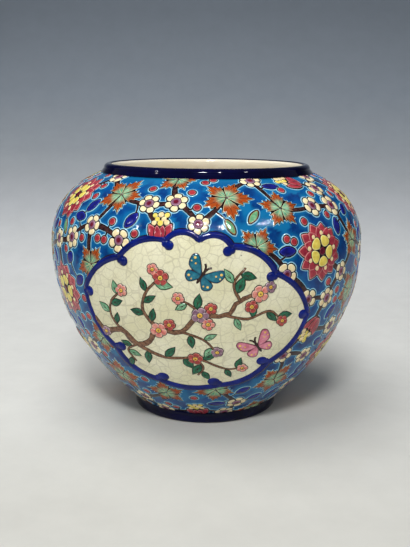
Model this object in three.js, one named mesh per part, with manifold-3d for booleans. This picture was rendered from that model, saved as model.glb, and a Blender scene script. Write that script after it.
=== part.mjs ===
// A ball vase in enamelled earthenware: one fired clay body, and the coats of glaze and raised enamel on it.
// Millimetres, +Z up. The vase stands on z = 0 with its axis on Z, and its front panel faces -Y.
import * as THREE from "three";
import { mergeVertices } from "three/addons/utils/BufferGeometryUtils.js";
import Module from "manifold-3d";

const wasm = await Module();
wasm.setup();

// Overall form, measured to the outer face of the enamel
const height = 200;
const bellyRadius = 125;
const bellyHeight = 138;
const footRadius = 59.5;
const footHeight = 9;
const neckRadius = 85.5;
const collarHeight = 7;
const lipRadius = 83;
// How full each curve of the wall is: 0 is a straight cone, 1 a square corner
const lowerFullness = 0.45;
const shoulderFullness = 0.7;

// Wall, foot ring and floor
const wall = 7.4;
const footRingWidth = 8;
const recessDepth = 4.5;
const floorHeight = 12;

// Coats laid on the clay, and the clearance left between any two solids
const coat = 1;
const seatGap = 0.3;
const frameRise = 1.2;
const motifRise = 0.9;
const pictureRise = 0.6;
const footBandClear = 0.6;
// How far over the lip's crest the blue rim band reaches before the cream lining starts, in degrees
const rimReach = 35;

// The lobed panels, front and back
const panelHalfWidth = 87;
const panelHalfHeight = 63.5;
const panelCentre = 107.5;
const panelTilt = -5;
const lobeBulge = 5.5;
const frameWidth = 4;
const knobRadius = 3.4;
const knobInset = 4.6;

// The raised motifs
const flowerRadius = 22.5;
const flowerPetals = 10;
const leafRadius = 19;
const leafLobes = 5;
const blossomRadius = 6;
const blossomPetals = 5;
const branchWidth = 4;
const twigWidth = 2.2;
const butterflySpan = 27;

// Facets
const turnSegments = 36;
const rowsPerCurve = 5;
const liningRowsPerCurve = 4;
const lipSteps = 4;
const lobeSteps = 4;
const discSteps = 10;

const neckHeight = height - collarHeight;
const lipCentre = new THREE.Vector2(lipRadius - wall / 2, height - wall / 2);
const clayOffset = coat + seatGap;

// Colours of the fired coats
const clayFinish = { color: 0xd9c3a0, roughness: 0.85 };
const creamFinish = { color: 0xefe6c8, roughness: 0.2 };
const cobaltFinish = { color: 0x0c1240, roughness: 0.12 };
const frameFinish = { color: 0x1c2a8c, roughness: 0.15 };
const groundFinish = { color: 0x0a63b0, roughness: 0.15 };
const flowerFinish = { color: 0xc23a48, roughness: 0.2 };
const leafFinish = { color: 0x7fae86, roughness: 0.2 };
const branchFinish = { color: 0x6a4a34, roughness: 0.3 };
const tealFinish = { color: 0x1c4a63, roughness: 0.2 };
const roseFinish = { color: 0xc9899c, roughness: 0.2 };

// The wall's outer face as (radius, height), from the top of the foot to the neck
const outline = new THREE.Path()
  .moveTo(footRadius, footHeight)
  .quadraticCurveTo(
    bellyRadius,
    THREE.MathUtils.lerp(footHeight, bellyHeight, lowerFullness),
    bellyRadius,
    bellyHeight,
  )
  .quadraticCurveTo(
    bellyRadius,
    THREE.MathUtils.lerp(bellyHeight, neckHeight, shoulderFullness),
    neckRadius,
    neckHeight,
  );
const wallLength = outline.getLength();
const bellyShare = outline.curves[0].getLength() / wallLength;

// The outward normal of the outline, a share of the way up the wall
function wallNormal(share) {
  const along = outline.getTangent(share);
  return new THREE.Vector2(along.y, -along.x);
}

// A row of points on the outline, with rows above and below the belly, moved into the wall by depth
function wallFace(depth, rows) {
  return Array.from({ length: 2 * rows + 1 }, (_, i) => {
    const below = i <= rows;
    const share = below
      ? (bellyShare * i) / rows
      : THREE.MathUtils.lerp(bellyShare, 1, (i - rows) / rows);
    return outline.getPoint(share).addScaledVector(wallNormal(share), -depth);
  });
}

// Points round the lip's half-round section, in degrees from its outer side over the crest
function lipArc(radius, from, to) {
  return Array.from({ length: lipSteps + 1 }, (_, i) => {
    const angle = THREE.MathUtils.degToRad(from + ((to - from) * i) / lipSteps);
    return new THREE.Vector2(radius, 0).rotateAround(new THREE.Vector2(), angle).add(lipCentre);
  });
}

// A face inside the vase, from the middle of the floor up to the lip, at a depth behind the outer face
function insideFace(depth, lipAngle) {
  const curve = wallFace(depth, liningRowsPerCurve);
  const top = curve.at(-1);
  const slope = outline.getTangent(1);
  const collarInside = lipRadius - depth;
  const corner = top.clone().addScaledVector(slope, (collarInside - top.x) / slope.x);
  return [
    new THREE.Vector2(0, floorHeight - (wall - depth)),
    ...curve,
    corner,
    ...lipArc(depth - wall / 2, 180, lipAngle),
  ];
}

// A solid of revolution about Z from a profile that closes on itself or on the axis
function turned(profile) {
  const closed = profile[0].x === 0 ? profile : [...profile, profile[0]];
  return solidOf(new THREE.LatheGeometry(closed, turnSegments).rotateX(Math.PI / 2));
}

// A closed three.js geometry as a solid that can be cut and joined
function solidOf(geometry) {
  const bare = geometry.index ? geometry.toNonIndexed() : geometry.clone();
  bare.deleteAttribute("normal");
  bare.deleteAttribute("uv");
  const merged = mergeVertices(bare, 1e-4);
  return new wasm.Manifold(
    new wasm.Mesh({
      numProp: 3,
      vertProperties: merged.attributes.position.array,
      triVerts: new Uint32Array(merged.index.array),
    }),
  );
}

// The shell between two depths of the wall; a depth below zero stands proud of the outer face
function wallShell(shallow, deep) {
  return turned([...wallFace(shallow, rowsPerCurve), ...wallFace(deep, rowsPerCurve).reverse()]);
}

const vase = new THREE.Group();
vase.name = "ball_vase";

function add(name, solid, finish) {
  const { vertProperties, triVerts } = solid.getMesh();
  const geometry = new THREE.BufferGeometry()
    .setAttribute("position", new THREE.BufferAttribute(new Float32Array(vertProperties), 3))
    .setIndex(new THREE.BufferAttribute(new Uint32Array(triVerts), 1));
  geometry.computeVertexNormals();
  const mesh = new THREE.Mesh(geometry, new THREE.MeshStandardMaterial(finish));
  mesh.name = name;
  vase.add(mesh);
}

// The clay body: foot ring and recessed base, wall, collar and lip in one piece
const footInside = footRadius - footRingWidth;
const clayFoot = footRadius - clayOffset;
add(
  "clay_body",
  turned([
    new THREE.Vector2(0, recessDepth),
    new THREE.Vector2(footInside, recessDepth),
    new THREE.Vector2(footInside, 0),
    new THREE.Vector2(clayFoot, 0),
    new THREE.Vector2(clayFoot, footHeight),
    ...wallFace(clayOffset, rowsPerCurve),
    new THREE.Vector2(neckRadius - clayOffset, neckHeight + seatGap),
    ...lipArc(wall / 2 - clayOffset, 0, 180),
    ...insideFace(wall - clayOffset, 180).slice(0, -lipSteps - 1).reverse(),
  ]),
  clayFinish,
);

// The cream glaze inside, from the floor to the edge of the rim band
const liningEdge = 90 + rimReach + THREE.MathUtils.radToDeg(seatGap / (wall / 2 - coat));
add(
  "lining_glaze",
  turned([...insideFace(wall - coat, liningEdge), ...insideFace(wall, liningEdge).reverse()]),
  creamFinish,
);

// The glaze under the base, inside the foot ring
const baseTop = recessDepth - seatGap;
const baseRadius = footInside - seatGap;
add(
  "base_glaze",
  turned([
    new THREE.Vector2(0, baseTop - coat),
    new THREE.Vector2(baseRadius, baseTop - coat),
    new THREE.Vector2(baseRadius, baseTop),
    new THREE.Vector2(0, baseTop),
  ]),
  creamFinish,
);

// The cobalt bands round the lip and the foot
add(
  "rim_band",
  turned([
    new THREE.Vector2(neckRadius, neckHeight + seatGap),
    ...lipArc(wall / 2, 0, 90 + rimReach),
    ...lipArc(wall / 2 - coat, 90 + rimReach, 0),
    new THREE.Vector2(neckRadius - coat, neckHeight + seatGap),
  ]),
  cobaltFinish,
);
add(
  "foot_band",
  turned([
    new THREE.Vector2(footRadius - coat, footBandClear),
    new THREE.Vector2(footRadius, footBandClear),
    new THREE.Vector2(footRadius, footHeight - seatGap),
    new THREE.Vector2(footRadius - coat, footHeight - seatGap),
  ]),
  cobaltFinish,
);

// A solid cut from a flat outline, pushed along its own Z from near to far
function prism(points, near, far) {
  const geometry = new THREE.ExtrudeGeometry(new THREE.Shape(points), {
    depth: far - near,
    bevelEnabled: false,
  });
  return geometry.translate(0, 0, near);
}

// A panel is drawn flat, in millimetres along and up from its centre as if the wall were unrolled.
// This puts such a point on the front of the vase, as seen straight from the front.
function onPanel(point) {
  const tilted = point.clone().rotateAround(new THREE.Vector2(), THREE.MathUtils.degToRad(panelTilt));
  const ring = outline.getPoint(THREE.MathUtils.clamp((panelCentre + tilted.y) / wallLength, 0, 1));
  return new THREE.Vector2(ring.x * Math.sin(tilted.x / ring.x), ring.y);
}

// A tool that cuts a drawn outline through the front wall, and leaves the wall behind the axis alone
function panelTool(points) {
  return solidOf(prism(points.map(onPanel), 0, bellyRadius + wall).rotateX(Math.PI / 2));
}

function joined(solids) {
  return wasm.Manifold.union(solids);
}

function disc(centre, radius) {
  return Array.from({ length: discSteps }, (_, i) =>
    new THREE.Vector2(radius, 0)
      .rotateAround(new THREE.Vector2(), (i * 2 * Math.PI) / discSteps)
      .add(centre),
  );
}

// Where the panel's lobes meet, as shares of its half width and half height, clockwise from the top
const rightCusps = [
  [0.257, 0.913],
  [0.64, 0.655],
  [1, 0.173],
  [0.662, -0.523],
  [0.252, -0.92],
];
const topCusp = new THREE.Vector2(0, 0.953 * panelHalfHeight);
const knobCusps = [...rightCusps, ...rightCusps.map(([x, y]) => [-x, y]).reverse()].map(
  ([x, y]) => new THREE.Vector2(x * panelHalfWidth, y * panelHalfHeight),
);
const cusps = [topCusp, ...knobCusps];

// The arc from one cusp to the next, bulging out of the panel, moved outwards by offset
function lobe(start, end, offset) {
  const half = start.distanceTo(end) / 2;
  const radius = (half * half + lobeBulge * lobeBulge) / (2 * lobeBulge);
  const outwards = end.clone().sub(start).rotateAround(new THREE.Vector2(), Math.PI / 2).normalize();
  const centre = start.clone().add(end).multiplyScalar(0.5);
  centre.addScaledVector(outwards, lobeBulge - radius);
  const sweep = 2 * Math.asin(half / radius);
  return Array.from({ length: lobeSteps + 1 }, (_, i) =>
    outwards
      .clone()
      .multiplyScalar(radius + offset)
      .rotateAround(new THREE.Vector2(), sweep / 2 - (sweep * i) / lobeSteps)
      .add(centre),
  );
}

// The frame's ridge with its curled knobs, grown on every side by extra
function frameTool(extra) {
  const halfWidth = frameWidth / 2 + extra;
  const parts = cusps.map((cusp, i) => {
    const next = cusps[(i + 1) % cusps.length];
    return panelTool([...lobe(cusp, next, halfWidth), ...lobe(cusp, next, -halfWidth).reverse()]);
  });
  for (const cusp of cusps) parts.push(panelTool(disc(cusp, halfWidth)));
  for (const cusp of knobCusps) {
    const inwards = new THREE.Vector2(-cusp.x / panelHalfWidth ** 2, -cusp.y / panelHalfHeight ** 2);
    const centre = cusp.clone().addScaledVector(inwards.normalize(), knobInset);
    parts.push(panelTool(disc(centre, knobRadius + extra)));
  }
  return joined(parts);
}

const field = panelTool(cusps.flatMap((cusp, i) => lobe(cusp, cusps[(i + 1) % cusps.length], 0).slice(1)));
const frame = frameTool(0);
const frameClear = frameTool(seatGap);
const panelClear = joined([field, frameClear]);
const coatShell = wallShell(0, coat);
const frameShell = wallShell(-frameRise, coat);
const motifShell = wallShell(-seatGap - motifRise, -seatGap);
const picture = wallShell(-seatGap - pictureRise, -seatGap).subtract(frameClear);

// The back of the vase is the front turned half round
const halfTurn = [0, 0, 180];
const backClear = panelClear.rotate(halfTurn);

function addBothSides(name, solid, finish) {
  add(`front_${name}`, solid, finish);
  add(`back_${name}`, solid.rotate(halfTurn), finish);
}

// The blue ground all over the ball, with an opening for each panel
add("ground_enamel", coatShell.subtract(panelClear).subtract(backClear), groundFinish);

// One branch of the picture as a ribbon that tapers along its points
function ribbon(points, startWidth, endWidth) {
  const sides = points.map((point, i) => {
    const before = points[Math.max(i - 1, 0)];
    const after = points[Math.min(i + 1, points.length - 1)];
    const across = after.clone().sub(before).normalize().rotateAround(new THREE.Vector2(), Math.PI / 2);
    const half = THREE.MathUtils.lerp(startWidth, endWidth, i / (points.length - 1)) / 2;
    return [point.clone().addScaledVector(across, -half), point.clone().addScaledVector(across, half)];
  });
  return [...sides.map(([right]) => right), ...sides.map(([, left]) => left).reverse()];
}

// A star-shaped outline whose reach is given for each angle
function star(steps, reach) {
  return Array.from({ length: steps }, (_, i) => {
    const angle = (i * 2 * Math.PI) / steps;
    return new THREE.Vector2(reach(i), 0).rotateAround(new THREE.Vector2(), angle);
  });
}

// How far a blossom reaches at a petal's tip and at the notch beside it, as shares of its radius
const blossomReach = [1, 0.7];
const blossomOutline = star(blossomPetals * 2, (i) => blossomReach[i % 2] * blossomRadius);

function moved(points, centre, spin = 0) {
  return points.map((p) => p.clone().rotateAround(new THREE.Vector2(), spin).add(centre));
}

const vectors = (pairs) => pairs.map(([x, y]) => new THREE.Vector2(x, y));
const drawn = (pairs) => vectors(pairs.map(([x, y]) => [x * panelHalfWidth, y * panelHalfHeight]));

// The flowering branch, drawn in shares of the panel's half width and half height
const mainBranch = drawn([
  [-0.74, -0.3],
  [-0.56, -0.24],
  [-0.4, -0.34],
  [-0.25, -0.12],
  [-0.08, -0.08],
  [0.1, 0.16],
  [0.3, 0.2],
  [0.47, 0.42],
]);
const lowTwig = drawn([
  [-0.4, -0.34],
  [-0.2, -0.46],
  [0.05, -0.45],
  [0.28, -0.56],
]);
const highTwig = drawn([
  [-0.25, -0.12],
  [-0.4, 0.12],
  [-0.42, 0.34],
]);
const branchBlossoms = drawn([
  [-0.25, -0.12],
  [0.1, 0.16],
  [0.47, 0.42],
  [-0.42, 0.34],
  [0.05, -0.45],
]);
const branchTool = joined(
  [
    ribbon(mainBranch, branchWidth, twigWidth),
    ribbon(lowTwig, twigWidth, twigWidth),
    ribbon(highTwig, twigWidth, twigWidth),
    ...branchBlossoms.map((centre) => moved(blossomOutline, centre)),
  ].map(panelTool),
);

// A butterfly from above: two fore wings, two hind wings and a body
function butterflyTool(centre, spin) {
  const span = butterflySpan / 2;
  const foreWing = vectors([
    [0.04, 0],
    [0.75, 0.8],
    [1, 0.62],
    [0.86, 0.1],
    [0.3, -0.06],
  ]);
  const hindWing = vectors([
    [0.04, 0.04],
    [0.74, -0.05],
    [0.72, -0.48],
    [0.4, -0.62],
    [0.02, -0.2],
  ]);
  const abdomen = vectors([
    [0.1, 0.3],
    [-0.1, 0.3],
    [-0.12, -0.45],
    [0.12, -0.45],
  ]);
  const wings = [foreWing, hindWing].flatMap((wing) => [
    wing,
    wing.map(({ x, y }) => new THREE.Vector2(-x, y)).reverse(),
  ]);
  return joined(
    [...wings, abdomen].map((points) =>
      panelTool(moved(points.map((p) => p.clone().multiplyScalar(span)), centre, spin)),
    ),
  );
}

const butterflies = [
  { name: "teal_butterfly", at: [0.02, 0.56], spin: -0.5, finish: tealFinish },
  { name: "rose_butterfly", at: [0.5, -0.14], spin: 0.6, finish: roseFinish },
];

// Each panel with its frame and picture
addBothSides("panel", coatShell.intersect(field).subtract(frameClear), creamFinish);
addBothSides("panel_frame", frameShell.intersect(frame), frameFinish);
addBothSides("panel_branch", picture.intersect(branchTool), branchFinish);
for (const { name, at, spin, finish } of butterflies) {
  addBothSides(name, picture.intersect(butterflyTool(drawn([at])[0], spin)), finish);
}

// A place on the wall, at an angle round from the front and a share of the way up. It faces straight out of
// the wall and is turned by spin.
function placeOnWall(angle, share, spin) {
  const ring = outline.getPoint(share);
  const normal = wallNormal(share);
  const turn = THREE.MathUtils.degToRad(angle);
  const out = new THREE.Vector3(normal.x * Math.sin(turn), -normal.x * Math.cos(turn), normal.y);
  const along = new THREE.Vector3(Math.cos(turn), Math.sin(turn), 0);
  return new THREE.Matrix4()
    .makeBasis(along, out.clone().cross(along), out)
    .setPosition(ring.x * Math.sin(turn), -ring.x * Math.cos(turn), ring.y)
    .multiply(new THREE.Matrix4().makeRotationZ(spin));
}

// A tool that cuts a drawn outline straight in through the wall at its place
function placedTool(points, place) {
  return solidOf(prism(points, -2 * wall, 2 * wall).applyMatrix4(place));
}

// A flower seen from the front, with pointed petals, and a leaf of broad lobes. Each reach is a share of
// the motif's radius, from one notch between petals or lobes to the next.
const flowerReach = [0.78, 1];
const leafReach = [0.36, 0.78, 1, 0.78];
const motifs = {
  flower: {
    radius: flowerRadius,
    finish: flowerFinish,
    points: (radius) => star(flowerPetals * 2, (i) => flowerReach[i % 2] * radius),
  },
  leaf: {
    radius: leafRadius,
    finish: leafFinish,
    points: (radius) => star(leafLobes * 4, (i) => leafReach[i % 4] * radius),
  },
};

// Where the motifs stand on half the ball, from the panel's middle round to the next panel's near side:
// [degrees round from the panel's middle, share of the way up the wall from foot to neck]
const halfPlaces = {
  flower: [
    [-57, 0.875],
    [-54, 0.543],
    [45, 0.703],
    [69, 0.297],
    [78, 0.875],
    [87, 0.112],
    [87, 0.506],
  ],
  leaf: [
    [-90, 0.715],
    [-87, 0.322],
    [-39, 0.211],
    [-30, 0.9],
    [12, 0.9],
    [39, 0.211],
    [66, 0.543],
  ],
};

// How far each next motif of a kind is turned, so that no two lie alike, in radians
const motifTurn = 2.4;

// The motifs in the order they are laid: each stops short of the panels and of those laid before it
const laid = [];
for (const [kind, places] of Object.entries(halfPlaces)) {
  const { radius, finish, points } = motifs[kind];
  places.forEach(([angle, share], i) => {
    const place = placeOnWall(angle, share, i * motifTurn);
    const centre = new THREE.Vector3().setFromMatrixPosition(place);
    let solid = motifShell.intersect(placedTool(points(radius), place));
    solid = solid.subtract(panelClear).subtract(backClear);
    for (const other of laid) {
      if (centre.distanceTo(other.centre) < radius + other.radius + seatGap) {
        solid = solid.subtract(other.clear);
      }
    }
    addBothSides(`${kind}_${i + 1}`, solid, finish);
    const clear = placedTool(points(radius + seatGap), place);
    const opposite = centre.clone().multiply(new THREE.Vector3(-1, -1, 1));
    laid.push({ centre, radius, clear }, { centre: opposite, radius, clear: clear.rotate(halfTurn) });
  });
}

export default vase;
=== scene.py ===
import math
import random

import bmesh
import bpy
import numpy as np
from bmesh.types import BMEdge, BMFace, BMVert
from mathutils import Matrix, Vector
from mathutils.kdtree import KDTree


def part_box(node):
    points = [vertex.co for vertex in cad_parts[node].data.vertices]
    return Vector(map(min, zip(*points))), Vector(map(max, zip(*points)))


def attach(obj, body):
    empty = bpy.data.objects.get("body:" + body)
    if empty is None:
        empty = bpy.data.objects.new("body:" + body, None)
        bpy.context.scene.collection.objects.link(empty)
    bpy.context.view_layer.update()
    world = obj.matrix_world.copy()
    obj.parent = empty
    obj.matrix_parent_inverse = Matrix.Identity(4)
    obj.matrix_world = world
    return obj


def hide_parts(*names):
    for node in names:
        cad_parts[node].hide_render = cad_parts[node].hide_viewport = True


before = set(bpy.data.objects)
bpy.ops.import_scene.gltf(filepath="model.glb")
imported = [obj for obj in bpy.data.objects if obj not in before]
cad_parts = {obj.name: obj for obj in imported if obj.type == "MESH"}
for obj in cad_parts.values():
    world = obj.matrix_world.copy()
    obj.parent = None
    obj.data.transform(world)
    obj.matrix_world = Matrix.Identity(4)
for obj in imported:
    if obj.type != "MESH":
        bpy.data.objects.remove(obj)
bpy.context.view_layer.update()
mm = 0.001


# The clay body: one buff earthenware pot, thrown on a wheel, trimmed at the foot and fired before any
# glaze goes on. Every coat hides it but for the foot ring, whose resting face is wiped bare.
def srgb(colour):
    """A colour as it is read off a screen, 0 to 255, as the linear colour that a shader takes."""
    return [c / 255 / 12.92 if c <= 10 else ((c / 255 + 0.055) / 1.055) ** 2.4 for c in colour] + [1]


def arc(start, corner, end, steps):
    """A curve that leaves start and arrives at end along the two straight lines to its corner."""
    ways = (step / steps for step in range(steps + 1))
    return [start.lerp(corner, way).lerp(corner.lerp(end, way), way) for way in ways]


def half_round(centre, radius, start, end, steps):
    """Points round a lip, in degrees from its outer side over the crest."""
    turns = (math.radians(start + (end - start) * step / steps) for step in range(steps + 1))
    return [centre + radius * Vector((math.cos(turn), math.sin(turn))) for turn in turns]


def turned(profile, steps=288):
    """A closed skin spun from a profile of (radius, height) points round the vase's axis."""
    bm = bmesh.new()
    line = [bm.verts.new((radius, 0, height)) for radius, height in profile]
    edges = [bm.edges.new(pair) for pair in zip(line, line[1:])]
    bmesh.ops.spin(bm, geom=line + edges, axis=(0, 0, 1), angle=math.tau, steps=steps, use_merge=True)
    bmesh.ops.remove_doubles(bm, verts=bm.verts, dist=0.001 * mm)
    bmesh.ops.recalc_face_normals(bm, faces=bm.faces)
    return bm


def placed(name, bm, materials):
    """Makes the mesh an object of the scene."""
    mesh = bpy.data.meshes.new(name)
    bm.to_mesh(mesh)
    bm.free()
    for material in materials:
        mesh.materials.append(material)
    thing = bpy.data.objects.new(name, mesh)
    bpy.context.scene.collection.objects.link(thing)
    return thing


def finished(name, bm, materials, slot, *nodes):
    """Makes the mesh a piece of the vase that stands for the named nodes."""
    piece = placed(name, bm, materials)
    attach(piece, "root")
    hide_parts(*nodes)
    return piece


def smooth(bm):
    for face in bm.faces:
        face.smooth = True


def node_group(name, inputs, outputs):
    """A shader group with these sockets and their first values, a tuple for a colour. It comes with the
    sockets that give its inputs and those that take its outputs."""
    group = bpy.data.node_groups.new(name, "ShaderNodeTree")
    for way, sockets in (("INPUT", inputs), ("OUTPUT", outputs)):
        for label, value in sockets.items():
            kind = "NodeSocketColor" if isinstance(value, tuple) else "NodeSocketFloat"
            group.interface.new_socket(label, in_out=way, socket_type=kind).default_value = value
    return group, group.nodes.new("NodeGroupInput").outputs, group.nodes.new("NodeGroupOutput").inputs


def new_material(name, roughness):
    """A material, its node tree and the inputs of its shader."""
    material = bpy.data.materials.new(name)
    material.use_nodes = True
    shader = material.node_tree.nodes["Principled BSDF"].inputs
    shader["Roughness"].default_value = roughness
    return material, material.node_tree, shader


def add_node(tree, kind, output, inputs=None, **settings):
    """Adds a shader node and gives one of its outputs. An input is a value or the socket that feeds it."""
    node = tree.nodes.new(f"ShaderNode{kind}")
    for name, value in settings.items():
        setattr(node, name, value)
    for name, value in (inputs or {}).items():
        if isinstance(value, bpy.types.NodeSocket):
            tree.links.new(value, node.inputs[name])
        else:
            node.inputs[name].default_value = value
    return node.outputs[output]


def remap(tree, value, low, high, to_low, to_high, kind="LINEAR"):
    """Carries a value between low and high over to the range between to_low and to_high."""
    inputs = {"Value": value, "From Min": low, "From Max": high, "To Min": to_low, "To Max": to_high}
    return add_node(tree, "MapRange", "Result", inputs, interpolation_type=kind)


def pooled_glaze():
    """Colour and height of a fired glaze: it pools thick and deep in some places and lies thin in others."""
    white, black = (1, 1, 1, 1), (0, 0, 0, 1)
    inputs = {"Thin": white, "Deep": black, "Patches": 80.0, "Dimples": 0.1}
    group, given, result = node_group("Pooled Glaze", inputs, {"Color": white, "Height": 0.0})
    place = add_node(group, "TexCoord", "Object")
    broad = add_node(group, "TexNoise", "Fac", {"Vector": place, "Scale": given["Patches"], "Detail": 3})
    grain = add_node(group, "TexNoise", "Fac", {"Vector": place, "Scale": 900, "Detail": 2})
    depth = remap(group, broad, 0.32, 0.68, 0, 1)
    speckled = add_node(group, "Math", "Value", {0: grain, 1: 0.5, 2: depth}, operation="MULTIPLY_ADD")
    centred = add_node(group, "Math", "Value", {0: speckled, 1: 0.25}, operation="SUBTRACT", use_clamp=True)
    mixed = {"Factor": centred, "A": given["Thin"], "B": given["Deep"]}
    group.links.new(add_node(group, "Mix", "Result", mixed, data_type="RGBA"), result["Color"])
    dimpled = {0: grain, 1: given["Dimples"], 2: broad}
    group.links.new(add_node(group, "Math", "Value", dimpled, operation="MULTIPLY_ADD"), result["Height"])
    return group


pooled = pooled_glaze()


def glaze(name, thin, deep, patches, roughness, uneven=0.12 * mm, dimples=0.3, shine=0.35):
    """A glaze that varies between two screen colours, with a faintly uneven surface. patches is how many to a
    metre."""
    material, tree, shader = new_material(name, roughness)
    shader["Specular IOR Level"].default_value = shine
    inputs = {"Thin": srgb(thin), "Deep": srgb(deep), "Patches": patches, "Dimples": dimples}
    height = add_node(tree, "Group", "Height", inputs, node_tree=pooled, name="Pool")
    tree.links.new(height.node.outputs["Color"], shader["Base Color"])
    tree.links.new(add_node(tree, "Bump", "Normal", {"Height": height, "Distance": uneven}), shader["Normal"])
    return material


foot_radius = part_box("foot_band")[1].x
belly_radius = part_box("ground_enamel")[1].x
foot_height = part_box("ground_enamel")[0].z
neck_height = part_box("ground_enamel")[1].z
neck_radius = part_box("rim_band")[1].x
lip_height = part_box("clay_body")[1].z + 1.3 * mm
belly_height = 138 * mm
lower_fullness = 0.45
shoulder_fullness = 0.7
wall = 7.4 * mm
coat = 1 * mm
seat_gap = 0.3 * mm
foot_ring_width = 8 * mm
recess = 4.5 * mm
floor_height = 12 * mm
lip_radius = 83 * mm

foot_top = Vector((foot_radius, foot_height))
belly = Vector((belly_radius, belly_height))
neck = Vector((neck_radius, neck_height))
lower_corner = Vector((belly_radius, foot_height + lower_fullness * (belly_height - foot_height)))
upper_corner = Vector((belly_radius, belly_height + shoulder_fullness * (neck_height - belly_height)))
outer = arc(foot_top, lower_corner, belly, 64) + arc(belly, upper_corner, neck, 48)[1:]
lip_centre = Vector((lip_radius - wall / 2, lip_height - wall / 2))


def behind(line, depth):
    """A line moved back into the wall by a depth."""
    moved = []
    for at, point in enumerate(line):
        along = (line[min(at + 1, len(line) - 1)] - line[max(at - 1, 0)]).normalized()
        moved.append(point + depth * Vector((-along.y, along.x)))
    return moved


clay = glaze("fired_clay", (214, 190, 150), (188, 160, 120), 120, 0.85, 0.4 * mm)
clay_depth = coat + seat_gap
ring_inside = foot_radius - foot_ring_width
ring_outside = foot_radius - clay_depth
chamfer = 0.8 * mm
body = turned(
    [
        (0, recess),
        (ring_inside, recess),
        (ring_inside, chamfer),
        (ring_inside + chamfer, 0),
        (ring_outside - chamfer, 0),
        (ring_outside, chamfer),
        (ring_outside, foot_height),
        *behind(outer, clay_depth),
        (neck_radius - clay_depth, neck_height + seat_gap),
        *half_round(lip_centre, wall / 2 - clay_depth, 0, 180, 12),
        *reversed(behind(outer, wall - clay_depth)),
        (0, floor_height - clay_depth),
    ]
)
finished("clay_pot", body, [clay], "clay", "clay_body")

# The lining and the base: a clear cream glaze poured inside and swilled round, and brushed under the base.
# It runs from the floor of the pot up to the blue band on the lip.
cream = glaze("cream_glaze", (250, 243, 224), (242, 231, 206), 25, 0.12, 0.12 * mm, 0)
rim_reach = 125
lining_edge = rim_reach + math.degrees(seat_gap / (wall / 2 - coat))


def inside(depth):
    """The inner face of the pot at a depth, from the middle of the floor to the lining's edge on the lip."""
    curve = behind(outer, depth)
    collar = Vector((lip_radius - depth, curve[-1].y + 2 * mm))
    lip = half_round(lip_centre, depth - wall / 2, 180, lining_edge, 12)
    return [Vector((0, floor_height - wall + depth)), *curve, collar, *lip]


lining = turned([*inside(wall), *reversed(inside(wall - coat))])
smooth(lining)
finished("lining", lining, [cream], "cream_glaze", "lining_glaze")
base_top = recess - seat_gap
base_edge = ring_inside - seat_gap
base = turned([(0, base_top - coat), (base_edge, base_top - coat), (base_edge, base_top), (0, base_top)])
finished("base_glaze_coat", base, [cream], "cream_glaze", "base_glaze")

# The bands: a near-black cobalt glaze brushed round the lip and the foot while the pot turns on the wheel.
# It is thick and very glossy, and breaks to blue where it thins over an edge.
navy = glaze("navy_glaze", (5, 6, 56), (2, 2, 30), 40, 0.06, 0.05 * mm, 0, 0.2)
rim = turned(
    [
        (neck_radius - coat, neck_height - 0.2 * mm),
        (neck_radius - 0.3 * mm, neck_height - 0.2 * mm),
        (neck_radius, neck_height + 0.4 * mm),
        *half_round(lip_centre, wall / 2, 0, rim_reach, 24),
        *reversed(half_round(lip_centre, wall / 2 - coat, 0, rim_reach, 24)),
        (neck_radius - coat, neck_height - 0.2 * mm),
    ]
)
smooth(rim)
finished("lip_band", rim, [navy], "navy_glaze", "rim_band")
foot_clear = 0.6 * mm
foot_band = turned(
    [
        (foot_radius - coat, foot_clear),
        (foot_radius - 0.4 * mm, foot_clear),
        (foot_radius, foot_clear + 0.5 * mm),
        (foot_radius, foot_height - 0.5 * mm),
        (foot_radius - 0.3 * mm, foot_height),
        (foot_radius - coat, foot_height),
        (foot_radius - coat, foot_clear),
    ]
)
smooth(foot_band)
finished("foot_band_coat", foot_band, [navy], "navy_glaze", "foot_band")

# The blue ground: turquoise-blue enamel flooded over the whole ball between the raised drawings. It pools
# darker in the open and thins to pale turquoise along every drawn line. Two lobed panels are left out of it.
edge_run = 12 * mm
first_slope = (outer[1] - outer[0]).normalized()
last_slope = (outer[-1] - outer[-2]).normalized()
wall_line = np.array([outer[0] - edge_run * first_slope, *outer, outer[-1] + edge_run * last_slope])
wall_up = np.concatenate([[0], np.cumsum(np.hypot(*np.diff(wall_line, axis=0).T))]) - edge_run
wall_slope = np.gradient(wall_line, wall_up, axis=0)
wall_length = wall_up[-1] - edge_run


def radius_at(up):
    return np.interp(up, wall_up, wall_line[:, 0])


def on_wall(angle, up, off):
    """Places on the wall: round from the front, up the wall from the foot, and off its face."""
    out = np.interp(up, wall_up, wall_slope[:, 1])
    rise = -np.interp(up, wall_up, wall_slope[:, 0])
    reach = radius_at(up) + off * out
    height = np.interp(up, wall_up, wall_line[:, 1]) + off * rise
    return np.stack([reach * np.sin(angle), -reach * np.cos(angle), height], axis=-1)


# The panels' lobes meet at these cusps, given as shares of half the width and half the height
panel_half_width = 87 * mm
panel_half_height = 63.5 * mm
panel_up = 107.5 * mm
panel_tilt = math.radians(-5)
lobe_bulge = 5.5 * mm
right_cusps = [(0.257, 0.913), (0.64, 0.655), (1, 0.173), (0.662, -0.523), (0.252, -0.92)]
knob_cusps = right_cusps + [(-x, y) for x, y in reversed(right_cusps)]
cusps = [Vector((x * panel_half_width, y * panel_half_height)) for x, y in [(0, 0.953)] + knob_cusps]


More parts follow.
